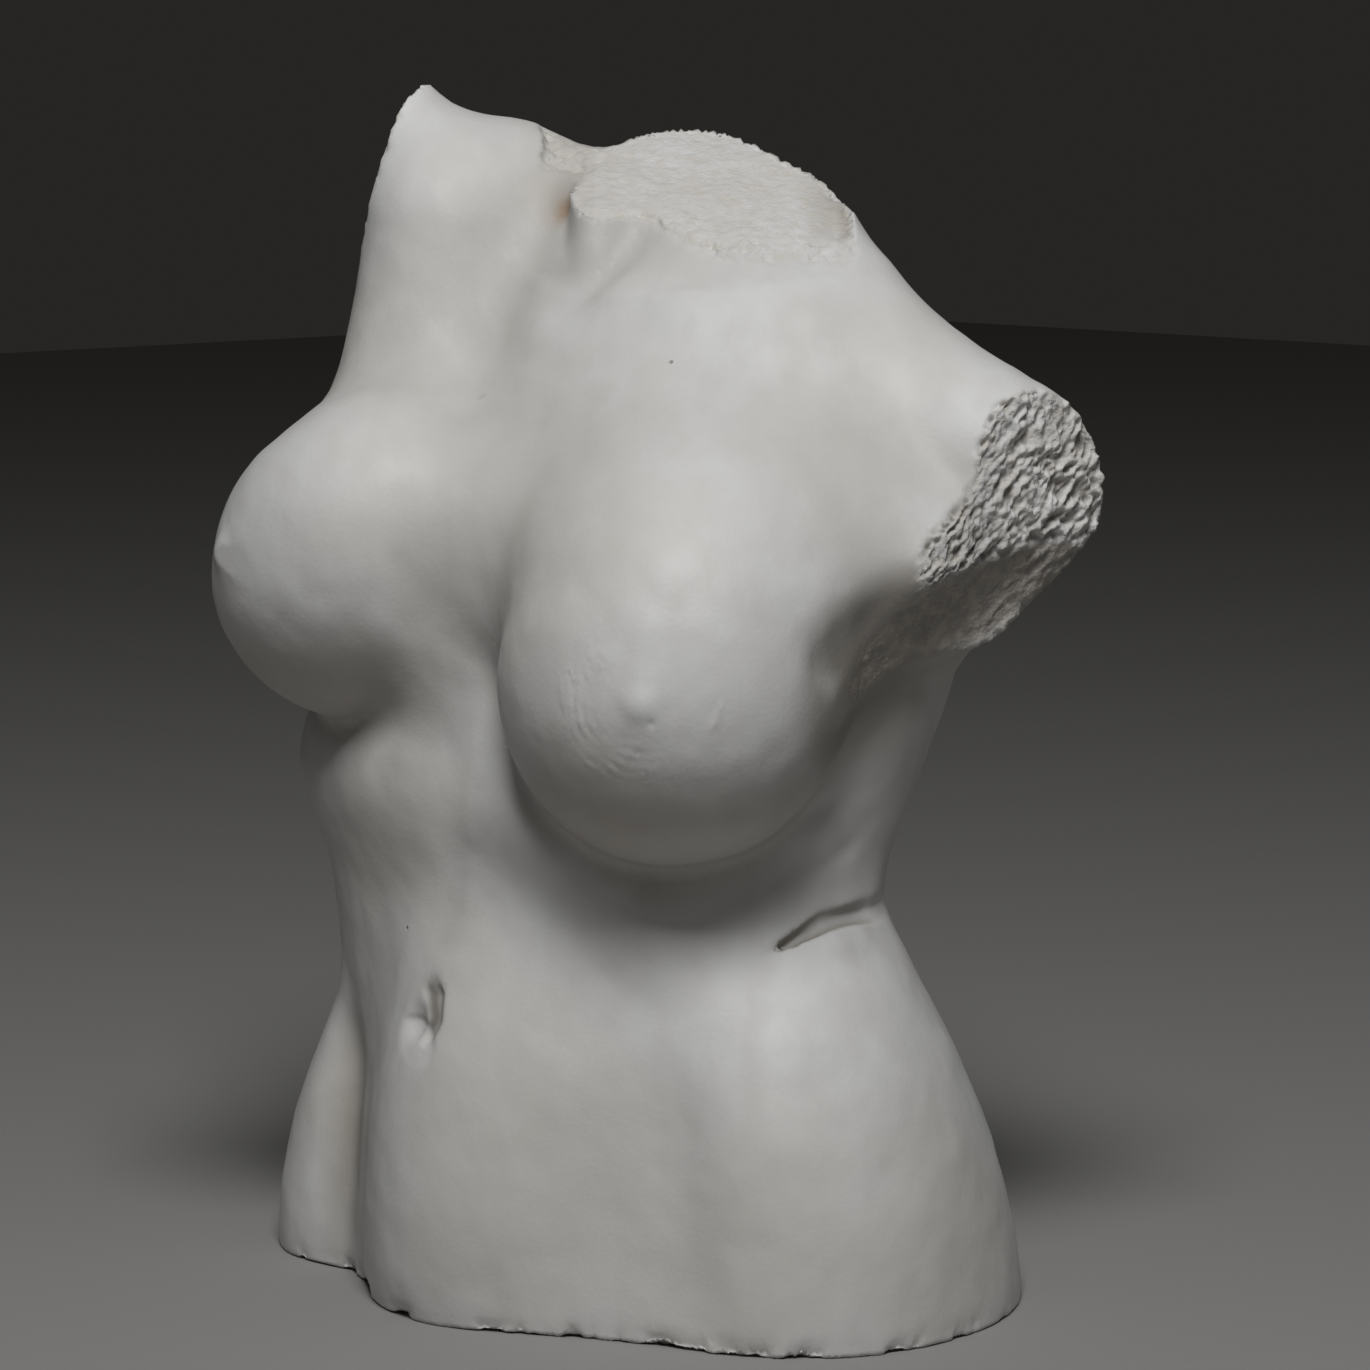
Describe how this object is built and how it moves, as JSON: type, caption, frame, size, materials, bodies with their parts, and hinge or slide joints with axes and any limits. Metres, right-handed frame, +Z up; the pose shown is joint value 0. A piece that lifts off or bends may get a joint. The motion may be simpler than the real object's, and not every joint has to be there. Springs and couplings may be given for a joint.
{
  "type": "torso bust",
  "caption": "Life-size plaster cast of a cut-off female torso with broken neck and arms, standing on a flat base cut.",
  "frame": {"origin": "middle of the flat base cut, on the surface that it stands on", "axes": "+Z up from the base cut to the shoulder, the torso faces -Y, its left side is +X"},
  "size_m": [0.3964, 0.3094, 0.5698],
  "materials": {
    "plaster": "dry matte plaster, lightly sealed"
  },
  "bodies": {
    "root": {"plaster_torso": "plaster"}
  },
  "joints": []
}
